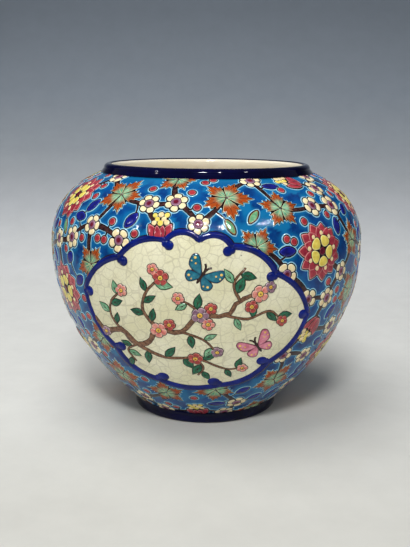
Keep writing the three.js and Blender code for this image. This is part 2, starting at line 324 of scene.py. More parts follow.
def lobe(start, end, steps=16):
    """The arc of the frame from one cusp to the next, bulging out of the panel."""
    half = (end - start).length / 2
    radius = (half**2 + lobe_bulge**2) / (2 * lobe_bulge)
    across = (end - start).normalized()
    outwards = Vector((-across.y, across.x))
    centre = (start + end) / 2 + (lobe_bulge - radius) * outwards
    sweep = math.asin(half / radius)
    turns = (sweep * (2 * step / steps - 1) for step in range(steps + 1))
    return [centre + radius * (math.cos(turn) * outwards + math.sin(turn) * across) for turn in turns]


lobes = [lobe(cusp, cusps[(at + 1) % len(cusps)]) for at, cusp in enumerate(cusps)]
outline = np.array([point for one in lobes for point in one[:-1]])
outline_turn = np.arctan2(outline[:, 1], outline[:, 0])
outline_reach = np.hypot(outline[:, 0], outline[:, 1])
outline_order = np.argsort(outline_turn)


def in_panel(angle, up, margin=0.0):
    """Which places on the wall lie inside either panel, or within a margin outside it."""
    across = ((angle + math.pi / 2) % math.pi - math.pi / 2) * radius_at(up)
    rise = up - panel_up
    x = across * math.cos(panel_tilt) + rise * math.sin(panel_tilt)
    y = rise * math.cos(panel_tilt) - across * math.sin(panel_tilt)
    turns, reaches = outline_turn[outline_order], outline_reach[outline_order]
    return np.hypot(x, y) < np.interp(np.arctan2(y, x), turns, reaches, period=math.tau) + margin


ball = turned([*outer, outer[0]])
ball_mesh = bpy.data.meshes.new("ball")
ball.to_mesh(ball_mesh)
ball.free()


def wall_skin(keep):
    """The part of the ball's face whose small facets pass a test on their angle and height up the wall."""
    bm = bmesh.new()
    bm.from_mesh(ball_mesh)
    centres = np.array([face.calc_center_median() for face in bm.faces])
    angle = np.arctan2(centres[:, 0], -centres[:, 1])
    up = np.interp(centres[:, 2], wall_line[:, 1], wall_up)
    inner_wall = np.hypot(centres[:, 0], centres[:, 1]) < radius_at(up) - 0.5 * mm
    drop = [face for face, kept in zip(bm.faces, keep(angle, up) & ~inner_wall) if not kept]
    bmesh.ops.delete(bm, geom=drop, context="FACES")
    smooth(bm)
    return bm


def backed(piece):
    """Gives a skin the thickness of its coat."""
    thickness = piece.modifiers.new("coat", "SOLIDIFY")
    thickness.thickness = coat
    thickness.offset = -1


turquoise = (14, 108, 160)
blue = glaze("blue_enamel", (4, 78, 146), (2, 42, 104), 110, 0.08, 0.35 * mm, 0.12, 0.25)
open_wall = wall_skin(lambda angle, up: ~in_panel(angle, up))
ground = finished("blue_ground", open_wall, [blue], "blue_enamel", "ground_enamel")
backed(ground)


# The panels: cream tin glaze, crazed all over by a fine net of cracks that hold a grey-brown stain.
# Small iron specks have burned through it here and there.
def stained(material, share, colour):
    """Lays a screen colour over a material's own, as far as a share between 0 and 1."""
    tree = material.node_tree
    base = tree.nodes["Principled BSDF"].inputs["Base Color"]
    mixed = {"Factor": share, "A": base.links[0].from_socket, "B": srgb(colour)}
    tree.links.new(add_node(tree, "Mix", "Result", mixed, data_type="RGBA"), base)


def crackle(material, scale, width, colour, strength):
    """Lays a net of fine cracks over a glaze's colour. scale is how many cells there are to a metre."""
    tree = material.node_tree
    place = add_node(tree, "TexCoord", "Object")
    wander = add_node(tree, "TexNoise", "Color", {"Vector": place, "Scale": scale * 0.7})
    wandered = {0: wander, 1: [0.5 / scale] * 3, 2: place}
    pushed = add_node(tree, "VectorMath", "Vector", wandered, operation="MULTIPLY_ADD")
    cells = {"Vector": pushed, "Scale": scale, "Randomness": 0.9}
    edge = add_node(tree, "TexVoronoi", "Distance", cells, feature="DISTANCE_TO_EDGE")
    crack = remap(tree, edge, 0, width * scale, strength, 0, "SMOOTHSTEP")
    faint = add_node(tree, "TexNoise", "Fac", {"Vector": place, "Scale": scale * 0.35})
    stained(material, add_node(tree, "Math", "Value", {0: crack, 1: faint}, operation="MULTIPLY"), colour)


def specks(material, spacing, radius, colour):
    """Scatters dark specks over a glaze's colour, one to each cell about as wide as the spacing."""
    tree = material.node_tree
    cells = {"Vector": add_node(tree, "TexCoord", "Object"), "Scale": 1 / spacing}
    middle = add_node(tree, "TexVoronoi", "Distance", cells)
    reach = radius / spacing
    stained(material, remap(tree, middle, 0.5 * reach, reach, 0.75, 0, "SMOOTHSTEP"), colour)


crazed = glaze("crackle_glaze", (245, 241, 212), (230, 225, 186), 35, 0.12, 0.12 * mm, 0.06)
crackle(crazed, 130, 0.6 * mm, (156, 146, 114), 0.6)
crackle(crazed, 280, 0.24 * mm, (178, 170, 138), 0.45)
specks(crazed, 14 * mm, 0.7 * mm, (104, 96, 76))
sides = (("front", 0), ("back", math.pi))
for side, turn in sides:
    skin = wall_skin(lambda angle, up, turn=turn: in_panel(angle, up) & (np.cos(angle - turn) > 0))
    backed(finished(f"{side}_panel_glaze", skin, [crazed], "crackle_glaze", f"{side}_panel"))


# The frames: a cobalt ridge trailed on round each panel, with a curled knob of enamel where two lobes meet.
# It stands proud of the ground on one side and of the panel on the other.
def laid(mesh, angle, up, spin=0.0, on_panel=False):
    """Lays a flat drawing on the wall: its x runs round the ball, its y up the wall and its z off its face.
    What falls past the lip or the foot, or inside a panel that it doesn't belong on, dives under the face."""
    flat = np.empty(len(mesh.vertices) * 3)
    mesh.vertices.foreach_get("co", flat)
    x, y, off = flat.reshape(-1, 3).T
    rise = up + x * math.sin(spin) + y * math.cos(spin)
    turn = angle + (x * math.cos(spin) - y * math.sin(spin)) / radius_at(rise)
    if not on_panel:
        under = in_panel(turn, rise, -0.5 * mm) | (rise < 0) | (rise > wall_length)
        off = np.where(under, -0.6 * mm, off)
    rise = np.clip(rise, -2 * mm, wall_length + 2 * mm)
    mesh.vertices.foreach_set("co", on_wall(turn, rise, off).ravel())
    mesh.update()
    return mesh


def drawing(bm):
    """Closes off one flat drawing, as a mesh to be laid on the wall."""
    smooth(bm)
    bmesh.ops.recalc_face_normals(bm, faces=bm.faces)
    mesh = bpy.data.meshes.new("drawing")
    bm.to_mesh(mesh)
    bm.free()
    return mesh


def gathered(name, drawings, materials, slot, *nodes):
    """Joins drawings that lie on the wall into one piece."""
    bm = bmesh.new()
    for mesh in drawings:
        bm.from_mesh(mesh)
        bpy.data.meshes.remove(mesh)
    return finished(name, bm, materials, slot, *nodes)


def ribbon(path, widths, section, skins):
    """A raised ribbon drawn flat along a path. section is a closed row of (across, height), where 1 across is
    the edge of the ribbon and what goes past it is in millimetres. skins are the materials of its strips."""
    path = np.array([tuple(point) for point in path])
    ahead = np.gradient(path, axis=0)
    ahead /= np.linalg.norm(ahead, axis=1, keepdims=True)
    rows, columns = len(path), len(section)
    bm = bmesh.new()
    fade = bm.verts.layers.float.new("fade")
    bmesh.ops.create_grid(bm, x_segments=columns - 1, y_segments=rows - 1, size=1)
    column_of = {vert: round((vert.co.x + 1) / 2 * (columns - 1)) for vert in bm.verts}
    for face in bm.faces:
        face.material_index = skins[min(column_of[vert] for vert in face.verts)]
    for vert, column in column_of.items():
        row = round((vert.co.y + 1) / 2 * (rows - 1))
        across, height = section[column]
        core = max(-1, min(1, across))
        reach = core * widths[row] / 2 + (across - core) * mm
        vert.co = (*(path[row] + reach * ahead[row][::-1] * (1, -1)), height)
        vert[fade] = 1 if abs(across) <= 1 else max(0, 1.2 - 1.6 * (abs(across) - 1))
    bmesh.ops.remove_doubles(bm, verts=bm.verts, dist=0.001 * mm)
    bmesh.ops.holes_fill(bm, edges=[edge for edge in bm.edges if edge.is_boundary])
    return drawing(bm)


def new_drawing():
    bm = bmesh.new()
    bm.verts.layers.float.new("fade")
    return bm


def only(kind, made):
    """The parts of one kind among what an operator made."""
    return [part for part in made["geom"] if isinstance(part, kind)]


def by_share(coordinates, share):
    """Runs to the edge's colour close to the outline."""
    return max(0, min(1, (share - 0.8) / 0.2))


def drop(bm, outline, rings, skin, fade_at=by_share, edge_skin=None):
    """A closed drop of enamel on a flat outline. Each ring is a share of the outline and a height. fade_at
    says how far a point runs to the edge's colour, from its place and its share."""
    fade = bm.verts.layers.float["fade"]
    outline = [Vector(point) for point in outline]
    middle = sum(outline, origin) / len(outline)
    before, height = rings[0]
    cap = bm.faces.new([bm.verts.new((*(middle + before * (point - middle)), height)) for point in outline])
    for vert in cap.verts:
        vert[fade] = fade_at(vert.co, before)
    for at, (share, height) in enumerate(rings[1:]):
        cap.material_index = skin if edge_skin is None or at > 1 else edge_skin
        cap = only(BMFace, bmesh.ops.extrude_face_region(bm, geom=[cap], use_keep_orig=at == 0))[0]
        cap.material_index = skin
        for vert in cap.verts:
            vert.co = (*(middle + (vert.co.xy - middle) * share / before), height)
            vert[fade] = fade_at(vert.co, share)
        before = share


def reach_of(outlines, turns):
    """How far flat outlines reach from the middle in each direction."""
    ways = np.stack([np.cos(turns), np.sin(turns)], axis=1)[None]
    far = np.zeros(len(turns))
    for outline in outlines:
        start = np.array([tuple(point) for point in outline])[:, None]
        run = np.roll(start, -1, axis=0) - start
        across = ways[..., 0] * run[..., 1] - ways[..., 1] * run[..., 0]
        across = np.where(np.abs(across) < 1e-15, 1e-15, across)
        away = (start[..., 0] * run[..., 1] - start[..., 1] * run[..., 0]) / across
        share = (start[..., 0] * ways[..., 1] - start[..., 1] * ways[..., 0]) / across
        met = (share >= -0.001) & (share <= 1.001) & (away > 0)
        far = np.maximum(far, np.where(met, away, 0).max(axis=0))
    return far


def widened(outline, margin):
    """A flat outline moved outwards by a margin, whichever way round its points run."""
    points = np.array([tuple(point) for point in outline])
    following = np.roll(points, -1, axis=0)
    leftwards = (points[:, 0] * following[:, 1] - points[:, 1] * following[:, 0]).sum() > 0
    ahead = following - np.roll(points, 1, axis=0)
    ahead /= np.linalg.norm(ahead, axis=1, keepdims=True)
    return points + margin * (ahead[:, ::-1] * ((1, -1) if leftwards else (-1, 1)))


def bed(bm, outlines, margin, height, steps, fringe=1.0 * mm, bottom=-0.1 * mm):
    """The dark drawing under a motif, which shows as a line round each drop on it. On the blue ground it is
    edged by a fringe of thin pale glaze that runs down into the ground."""
    fade = bm.verts.layers.float["fade"]
    turns = np.arange(steps) * math.tau / steps
    reach = np.maximum(reach_of([widened(outline, margin) for outline in outlines], turns), margin)
    rim = bmesh.ops.create_circle(bm, cap_ends=True, radius=1, segments=steps)["verts"]
    cap = rim[0].link_faces[0]
    order = {vert: round(math.atan2(vert.co.y, vert.co.x) / math.tau * steps) % steps for vert in rim}
    for vert, at in order.items():
        vert.co = (reach[at] * math.cos(turns[at]), reach[at] * math.sin(turns[at]), height)
        vert[fade] = 1
    rim_edges = list(cap.edges)
    skirt = ((0.5, 0.1 * mm, 0.85), (1, bottom, 0)) if fringe else ((0, bottom, 1),)
    for away, level, faded in skirt:
        made = bmesh.ops.extrude_edge_only(bm, edges=rim_edges)
        rim_edges = only(BMEdge, made)
        for face in only(BMFace, made):
            face.material_index = 1 if fringe else 0
        for vert in only(BMVert, made):
            at = round(math.atan2(vert.co.y, vert.co.x) / math.tau * steps) % steps
            far = reach[at] + away * fringe
            vert.co = (far * math.cos(turns[at]), far * math.sin(turns[at]), level)
            vert[fade] = faded
    bmesh.ops.edgeloop_fill(bm, edges=rim_edges)
    rings = max(1, round(reach.mean() / (3.5 * mm)))
    for ring in range(rings - 1, 0, -1):
        cap = only(BMFace, bmesh.ops.extrude_face_region(bm, geom=[cap]))[0]
        for vert in cap.verts:
            vert.co.xy *= ring / (ring + 1)


def section(half, crest, unit=mm):
    """A ribbon's closed cross-section: its left half, its crest and the left half mirrored."""
    right = [(-across, height) for across, height in reversed(half)]
    row = [(across, height * unit) for across, height in [*half, *crest, *right]]
    return [*row, row[0]]


line = glaze("manganese_line", (34, 18, 24), (14, 8, 14), 500, 0.2)
cobalt = glaze("cobalt_enamel", (8, 32, 126), (4, 18, 86), 110, 0.1, 0.25 * mm, 0.12, 0.25)
frame_width = 4 * mm
frame_rise = 1.1 * mm
knob_radius = 4.1 * mm
knob_inset = 5 * mm
sunk = -0.12 * mm
crest_turns = [math.pi * step / 10 for step in range(1, 10)]
crest = [(-0.9 * math.cos(turn), frame_rise * math.sin(turn)) for turn in crest_turns]
ridge = section([(-1.7, sunk), (-1.5, 0.12 * mm), (-0.94, 0.14 * mm)], crest, 1)
ridge_skins = [1, 1, *[0] * (len(ridge) - 5), 1, 1, 1]
origin = Vector((0, 0))


def around(steps):
    """The angles of even steps round a circle."""
    return [math.tau * step / steps for step in range(steps)]


def circle(centre, radius, steps):
    return [centre + radius * Vector((math.cos(turn), math.sin(turn))) for turn in around(steps)]


def knobs():
    """A curled knob where two lobes meet, made of a stem and a curl. The topmost cusp has none."""
    bm = new_drawing()
    dome = (1, 0.95, 0.8, 0.55, 0.25)
    rings = [(share, sunk + (frame_rise - sunk) * math.sqrt(1 - share**2)) for share in dome]
    for cusp in cusps:
        drop(bm, circle(cusp, 0.53 * frame_width, 16), rings, 0)
    for cusp in cusps[1:]:
        inwards = -Vector((cusp.x / panel_half_width**2, cusp.y / panel_half_height**2)).normalized()
        to_middle = Vector((-math.copysign(1, cusp.x), 0))
        size = knob_radius * (1 - 0.16 * cusp.y / panel_half_height)
        curl = cusp + (knob_inset - knob_radius + size) * (inwards + 0.5 * to_middle).normalized()
        stem = cusp + 0.55 * knob_inset * (inwards - 0.25 * to_middle).normalized()
        drop(bm, circle(stem, 0.72 * size, 14), rings, 0)
        drop(bm, circle(curl, size, 20), [(share, 1.12 * height) for share, height in rings], 0)
    return drawing(bm)


for side, turn in sides:
    strips = []
    for one in lobes:
        widths = [frame_width * (0.96 + 0.54 * max(0, -point.y / panel_half_height)) for point in one]
        strips.append(ribbon(one, widths, ridge, ridge_skins))
    strips = [laid(strip, turn, panel_up, panel_tilt, on_panel=True) for strip in [*strips, knobs()]]
    gathered(f"{side}_frame_ridge", strips, [cobalt, line], "cobalt_enamel", f"{side}_panel_frame")

# The branches: dark manganese brown drawn with a full brush, running from flower to flower all over the
# ground. The blue glaze stops short of every stroke and lies pale along it.
def running_edge():
    """A drop's colour, run to that of its thin edge where the piece's own fade is high."""
    white = (1, 1, 1, 1)
    group, given, result = node_group("Running Edge", {"Color": white, "Edge": white}, {"Color": white})
    fade = add_node(group, "Attribute", "Fac", attribute_name="fade")
    mixed = {"Factor": fade, "A": given["Color"], "B": given["Edge"]}
    group.links.new(add_node(group, "Mix", "Result", mixed, data_type="RGBA"), result["Color"])
    return group


running = running_edge()


def run_to(material, colour):
    """Runs a glaze's colour to another at the edge of each drop."""
    tree = material.node_tree
    base = tree.nodes["Principled BSDF"].inputs["Base Color"]
    inputs = {"Color": base.links[0].from_socket, "Edge": srgb(colour)}
    tree.links.new(add_node(tree, "Group", "Color", inputs, node_tree=running, name="Edge"), base)
    return material


def enamel(name, thin, deep, edge, patches=300, roughness=0.12):
    """A glaze for drops, which runs to another colour at the edge of each."""
    return run_to(glaze(name, thin, deep, patches, roughness), edge)


pale_edge = run_to(glaze("thin_blue", turquoise, turquoise, 70, 0.1, 0.3 * mm), (160, 216, 234))
bark = glaze("branch_brown", (80, 42, 38), (18, 9, 12), 420, 0.18)
hand = random.Random(11)

flower_reach = 22.5 * mm
leaf_reach = 19 * mm
small_leaf_reach = 16.5 * mm
side_flower_reach = 14 * mm
blossom_reach = 9.6 * mm
bud_reach = 5.6 * mm
leaflet_reach = 5 * mm
berry_reach = 3.1 * mm
# Angles from the middle of a panel, and shares of the way from the foot to the neck
half_flowers = [(-57, 0.875), (-54, 0.543), (45, 0.703), (69, 0.297), (78, 0.875), (87, 0.112), (87, 0.506)]
half_leaves = [(-90, 0.715), (-87, 0.322), (-39, 0.211), (-30, 0.9), (12, 0.9), (39, 0.211), (66, 0.543)]


def places(half, turn):
    return [(math.radians(angle) + turn, share * wall_length) for angle, share in half]


big_places = [
    (*place, reach)
    for turn in (0, math.pi)
    for half, reach in ((half_flowers, flower_reach), (half_leaves, leaf_reach))
    for place in places(half, turn)
]
spots = np.array([(hand.uniform(-math.pi, math.pi), hand.uniform(0, wall_length)) for _ in range(9000)])
spots_at = on_wall(spots[:, 0], spots[:, 1], 0.0)
room = np.full(len(spots), 1.0)
taken = []


def take(found, reach):
    """Marks the ground round these places as drawn on."""
    for place in found:
        at = Vector(on_wall(*place, 0.0))
        taken.append((at, reach))
        np.minimum(room, np.linalg.norm(spots_at - np.array(at), axis=1) - reach, out=room)


def scattered(most, reach, overlap, over_frame=0.5, past_end=0.0):
    """Finds room for like motifs, the widest gaps in the drawing first. overlap is how far they may run into
    others, over_frame the share of their reach that stays clear of the panels, and past_end the share that
    may run past the foot or the neck."""
    lowest = (0.4 - past_end) * reach
    fits = ~in_panel(spots[:, 0], spots[:, 1], reach * over_frame)
    fits &= (spots[:, 1] > lowest) & (spots[:, 1] < wall_length - lowest)
    found = []
    while len(found) < most and np.where(fits, room, 0).max() > reach - overlap:
        widest = np.argsort(np.where(fits, -room, 0))[: 1 + len(spots) // 900]
        choice = [at for at in widest if room[at] > reach - overlap]
        found.append(tuple(spots[hand.choice(choice)]))
        take(found[-1:], reach)
    return found


for angle, up, reach in big_places:
    take([(angle, up)], reach)
side_flower_places = scattered(10, side_flower_reach, 2.8 * mm)
small_leaf_places = scattered(34, small_leaf_reach, 3.4 * mm, 0.1, 0.5)
blossom_places = scattered(90, blossom_reach, 2.4 * mm, 0.2, 0.3)


def between(start, end, bend, steps_per=3 * mm):
    """A bowed stroke between two places, as a flat path round the angle halfway between them."""
    gap = (end[0] - start[0] + math.pi) % math.tau - math.pi
    turn, up = start[0] + gap / 2, (start[1] + end[1]) / 2
    first = Vector((-gap / 2 * radius_at(start[1]), start[1] - up))
    last = Vector((gap / 2 * radius_at(end[1]), end[1] - up))
    corner = (first + last) / 2 + bend * Vector((first.y - last.y, last.x - first.x))
    return turn, up, arc(first, corner, last, max(4, round((last - first).length / steps_per)))


stroke = section([(-1.8, -0.1), (-1.3, 0.1), (-1, 0.16), (-0.62, 0.26)], [(0, 0.32)])
stroke_skins = [1, 1, 0, 2, 2, 0, 1, 1, 1]
hubs = [(angle, up) for angle, up, _ in big_places] + small_leaf_places + side_flower_places + blossom_places
hub_places = [Vector(on_wall(angle, up, 0.0)) for angle, up in hubs]


def cost(one, other):
    """How far apart two hubs are, and farther where the way between them crosses a panel."""
    gap = (hubs[other][0] - hubs[one][0] + math.pi) % math.tau - math.pi
    ways = np.linspace(0.2, 0.8, 5)
    crosses = in_panel(hubs[one][0] + gap * ways, hubs[one][1] + (hubs[other][1] - hubs[one][1]) * ways)
    return (hub_places[one] - hub_places[other]).length * (1 + 2 * crosses.mean())


costs = {(a, b): cost(a, b) for a in range(len(hubs)) for b in range(a)}
joined, strokes, stations = {0}, [], []
while len(joined) < len(hubs):
    loose = set(range(len(hubs))) - joined
    _, one, other = min((costs[max(a, b), min(a, b)], a, b) for a in joined for b in loose)
    joined.add(other)
    turn, up, path = between(hubs[one], hubs[other], hand.choice((-1, 1)) * hand.uniform(0.06, 0.2))
    widths = np.linspace(4.8, 3.0, len(path)) * mm * hand.uniform(0.85, 1.1)
    strokes.append(laid(ribbon(path, widths, stroke, stroke_skins), turn, up))
    stations += [(turn + p.x / radius_at(up + p.y), up + p.y) for p in path]

take(stations, 1.8 * mm)
bud_places = scattered(120, bud_reach, 1.6 * mm, 1.1)
leaflet_places = scattered(12, leaflet_reach, 1.4 * mm, 1.1)
berry_places = scattered(280, berry_reach, 0.7 * mm, 1.3)
tips = [Vector(on_wall(angle, up, 0.0)) for angle, up in stations]
for spread, farthest in ((bud_places, 20 * mm), (leaflet_places, 16 * mm), (berry_places, 8 * mm)):
    for place in spread:
        here = Vector(on_wall(*place, 0.0))
        nearest = min(range(len(tips)), key=lambda at: (tips[at] - here).length)
        if 3 * mm < (tips[nearest] - here).length < farthest:
            bend = hand.choice((-1, 1)) * hand.uniform(0.1, 0.3)
            turn, up, path = between(stations[nearest], place, bend, 2 * mm)
            widths = np.linspace(1.8, 1.1, len(path)) * mm
            strokes.append(laid(ribbon(path, widths, stroke, stroke_skins), turn, up))
            tips.append(here)
            stations.append(place)
gathered("ground_branches", strokes, [line, pale_edge, bark], "branch_enamel")

# The leaves: five saw-edged lobes round a stalk, each one drop of mint enamel that turns rust at its tip.
# The drawing shows dark between them, and a pale rib runs up each lobe.
lobe_half = [(0.05, 0.015), (0.2, 0.118), (0.36, 0.22), (0.48, 0.27)]
lobe_half += [(0.66, 0.34), (0.64, 0.2), (0.87, 0.2), (0.82, 0.09)]
lobe_shape = lobe_half + [(1.09, 0)] + [(u, -v) for u, v in reversed(lobe_half)]
leaf_lobes = ((90, 1), (18, 0.97), (162, 0.97), (-54, 0.9), (234, 0.9))
low_drop = [(1, 0.08 * mm), (1, 0.22 * mm), (0.94, 0.36 * mm), (0.78, 0.45 * mm), (0.45, 0.49 * mm)]
leaf_drop = [(1, 0.08 * mm), (1, 0.22 * mm), (0.95, 0.34 * mm), (0.78, 0.45 * mm), (0.45, 0.49 * mm)]
# Each rib is how far along its lobe it starts, how far aside, how long it is and how far its end splays
leaf_ribs = ((0.1, 0, 0.36, 0), (0.5, 0, 0.4, 0), (0.46, 0.1, 0.14, 0.12), (0.46, -0.1, 0.14, -0.12))
bed_height = 0.18 * mm
spin_step = 2.4


def raised(rings, rise):
    return [(share, height + rise) for share, height in rings]


def drops(bm, outlines, skin, rise=0.0):
    """Fills outlines with low drops of enamel, raised by what they lie on."""
    for outline in outlines:
        drop(bm, outline, raised(low_drop, rise), skin)


def set_out(pieces, node, half, draw, skins, slot):
    """Lays a motif at its places on both halves of the ground, each for a node of its own."""
    for side, turn in sides:
        drawn = [laid(draw(), *place, at * spin_step) for at, place in enumerate(places(half, turn))]
        names = [f"{side}_{node}_{at + 1}" for at in range(len(half))]
        gathered(f"{side}_{pieces}", drawn, skins, slot, *names)


def strewn(name, draw, found, skins, slot):
    """Lays a motif at every place that was found for it, turned any way."""
    gathered(name, [laid(draw(), *place, hand.uniform(0, math.tau)) for place in found], skins, slot)


def turned_by(outline, degrees, size=1.0):
    turn = Matrix.Rotation(math.radians(degrees), 2)
    return [turn @ (Vector(point) * size) for point in outline]


def leaf(reach):
    bm = new_drawing()
    outlines = []
    for degrees, share in leaf_lobes:
        size = share * (reach - 1.0 * mm) * hand.uniform(0.94, 1)
        outlines.append(turned_by(lobe_shape, degrees + hand.uniform(-4, 4), size))
    bed(bm, [*outlines, circle(origin, 0.5 * reach, 40)], 0.8 * mm, bed_height, 200)
    rust_from = hand.uniform(0.26, 0.38) * reach

    def rusting(coordinates, share):
        """Runs to rust from some way along the lobe."""
        return max(0, min(1, (coordinates.xy.length - rust_from) / (0.2 * reach)))

    for outline in outlines:
        drop(bm, outline, leaf_drop, 2, rusting, 3)
        tip = outline[len(lobe_half)]
        way = tip.normalized()
        aside = Vector((-way.y, way.x))
        for u, v, length, splay in leaf_ribs:
            start, end = u * tip.length, (u + length) * tip.length
            corners = ((start, -0.26, 0), (end, -0.12, splay), (end, 0.12, splay), (start, 0.26, 0))
            rib = [way * p + aside * ((v + more) * reach + q * mm) for p, q, more in corners]
            drop(bm, rib, [(1, 0.3 * mm), (1, 0.5 * mm), (0.7, 0.56 * mm)], 4 if u > 0.4 else 3)
    return drawing(bm)


mint = enamel("mint_to_rust", (146, 198, 162), (76, 146, 112), (164, 70, 20), 260)
rib_green = glaze("pale_rib", (224, 216, 166), (196, 190, 138), 300, 0.14)
vein = glaze("leaf_vein", (122, 42, 16), (84, 28, 14), 300, 0.16)
leaf_skins = [line, pale_edge, mint, rib_green, vein]
set_out("leaves", "leaf", half_leaves, lambda: leaf(leaf_reach), leaf_skins, "leaf_enamel")
strewn("small_leaves", lambda: leaf(small_leaf_reach), small_leaf_places, leaf_skins, "leaf_enamel")

# The flowers: two rows of pointed red petals, a ring of small cream ones and a heart of broad yellow ones
# round a maroon eye. Each petal is a drop of enamel of its own, laid over the row outside it.
def petal(start, end, width, taper, degrees, point):
    """A petal's outline. A taper above 0 narrows its outer half, one below 0 broadens it, and point sharpens
    its tip."""
    middle, half = (start + end) / 2, (end - start) / 2
    flat = []
    for turn in around(16):
        spread = (1 - taper * math.cos(turn)) * (1 - point * max(0, math.cos(turn)) ** 2)
        flat.append((middle + half * math.cos(turn), width / 2 * math.sin(turn) * spread))
    return turned_by(flat, degrees)


def ring_of(count, start, end, width, taper, degrees, loose, point=0.0):
    """A ring of petals, each a little shorter, wider or more turned than the next."""
    ring = []
    for at in range(count):
        tip = end * (1 + hand.uniform(-loose, 0))
        broad = width * hand.uniform(0.94, 1.04)
        ring.append(petal(start, tip, broad, taper, degrees + 360 / count * at + hand.uniform(-2, 2), point))
    return ring


def tier(bm, outlines, margin, level, steps, skin, rise):
    """A row of drops on a dark bed of its own, laid over the row below. The measures are in millimetres."""
    bed(bm, outlines, margin * mm, level * mm, steps, 0, 0.1 * mm)
    drops(bm, outlines, skin, rise * mm)


def flower(reach):
    bm = new_drawing()
    count = hand.choice((10, 11, 12))
    back_ring = ring_of(count, 0.44 * reach, reach - 0.8 * mm, 4.4 / count * reach, 0.3, 0, 0.08, 0.45)
    front_ring = ring_of(count, 0.36 * reach, 0.85 * reach, 3.7 / count * reach, 0.25, 180 / count, 0.1, 0.45)
    cream_ring = ring_of(count - 2, 0.48 * reach, 0.67 * reach, 0.15 * reach, -0.1, 12, 0.06)
    cells = hand.choice((5, 6, 7))
    heart = ring_of(cells, 0.15 * reach, 0.51 * reach, 2.15 / cells * reach, -0.3, 5, 0.08)
    bed(bm, back_ring, 0.8 * mm, bed_height, 180)
    drops(bm, back_ring, 2)
    tier(bm, front_ring, 0.5, 0.38, 180, 2, 0.16)
    tier(bm, cream_ring, 0.5, 0.6, 120, 3, 0.3)
    tier(bm, heart, 0.55, 0.76, 96, 4, 0.48)
    tier(bm, [circle(origin, 0.125 * reach, 14)], 0.6, 0.92, 20, 5, 0.62)
    return drawing(bm)


red = enamel("petal_red", (182, 62, 74), (138, 34, 52), (238, 166, 160))
cream_petal = enamel("petal_cream", (250, 232, 176), (240, 204, 148), (252, 244, 206))
yellow = enamel("petal_yellow", (244, 226, 112), (226, 198, 76), (250, 242, 176))
maroon = enamel("eye_maroon", (116, 22, 46), (80, 10, 32), (136, 48, 66), 300, 0.1)
flower_skins = [line, pale_edge, red, cream_petal, yellow, maroon]
set_out("flowers", "flower", half_flowers, lambda: flower(flower_reach), flower_skins, "flower_enamel")


def side_flower():
    """A half-open flower seen from its side: red petals folded over a head of small yellow drops."""
    bm = new_drawing()
    foot = Vector((0, 11 * mm))
    petals = []
    for degrees, length in ((-30, 16), (30, 16), (-10, 13), (10, 13)):
        one = petal(0.5 * mm, length * mm, 0.42 * length * mm, 0.0, 90 + degrees, 0.4)
        petals.append([point - foot for point in one])
    seeds = ((-4.4, 3.6), (0, 3.4), (4.4, 3.6), (-2.3, 6.3), (2.3, 6.3), (-4.2, 9.2), (0, 9.6), (4.2, 9.2))
    head = [circle(Vector((x * mm, y * mm)), hand.uniform(1.7, 2.1) * mm, 12) for x, y in seeds]
    bed(bm, [*petals, *head], 0.75 * mm, bed_height, 140)
    for at, outline in enumerate(head):
        drops(bm, [outline], 3 + at % 2)
    for at, outline in enumerate(petals):
        middle = sum(outline, origin) / len(outline)
        dark = [point + 0.45 * mm * (point - middle).normalized() for point in outline]
        drop(bm, dark, raised(low_drop, 0.12 * (at + 0.5) * mm)[1:4], 0)
        drops(bm, [outline], 2, 0.12 * (at + 1) * mm)
    return drawing(bm)


strewn("side_flowers", side_flower, side_flower_places, flower_skins, "flower_enamel")

# The blossoms, leaflets, buds and berries: small drops of enamel that fill the ground between the big
# flowers, each in its own dark line.
def blossom():
    bm = new_drawing()
    count = hand.choice((5, 5, 6))
    size = hand.uniform(0.84, 1)
    reach, width = (blossom_reach - 0.7 * mm) * size, 34 / count * mm * size
    ring = ring_of(count, 3.2 * mm * size, reach, width, -0.14, 0, 0.08)
    bed(bm, ring, 0.95 * mm, bed_height, 90)
    drops(bm, ring, 2)
    tier(bm, [circle(origin, 3.7 * mm * size, 18)], 0.5, 0.5, 24, 3, 0.22)
    drops(bm, [circle(origin, 2.1 * mm * size, 12)], 4, 0.34 * mm)
    return drawing(bm)


def single(outline, steps):
    """One drop on a bed of its own."""
    bm = new_drawing()
    bed(bm, [outline], 0.9 * mm, bed_height, steps)
    drops(bm, [outline], 2)
    return drawing(bm)


def almond(length, width):
    """An oval outline, drawn in towards both its ends."""
    outline = []
    for turn in around(14):
        spread = 1 - 0.3 * abs(math.cos(turn))
        outline.append(Vector((length / 2 * math.cos(turn), width / 2 * math.sin(turn) * spread)))
    return outline


def bud():
    return single(almond(hand.uniform(9.5, 14) * mm, hand.uniform(6.2, 7.6) * mm), 44)


white_petal = enamel("blossom_cream", (250, 236, 190), (240, 214, 160), (254, 250, 226))
mauve = enamel("blossom_mauve", (152, 104, 128), (110, 66, 98), (196, 160, 176))
bud_blue = enamel("bud_cobalt", (20, 28, 140), (8, 10, 84), (40, 56, 170), 200, 0.1)
leaflet_green = enamel("leaflet_green", (128, 188, 140), (70, 134, 90), (190, 104, 44))
berry_red = enamel("berry_red", (180, 56, 62), (140, 30, 44), (232, 156, 150), 300, 0.1)
blossom_skins = [line, pale_edge, white_petal, mauve, maroon]
leaflet_skins = [line, pale_edge, leaflet_green]
leaflet = almond(12 * mm, 5 * mm)
berry = circle(origin, 2.5 * mm, 12)
strewn("blossoms", blossom, blossom_places, blossom_skins, "flower_enamel")
strewn("buds", bud, bud_places, [line, pale_edge, bud_blue], "cobalt_enamel")
strewn("leaflets", lambda: single(leaflet, 40), leaflet_places, leaflet_skins, "leaf_enamel")
berries = [laid(single(berry, 16), *place) for place in berry_places]
gathered("berries", berries, [line, pale_edge, berry_red], "flower_enamel")

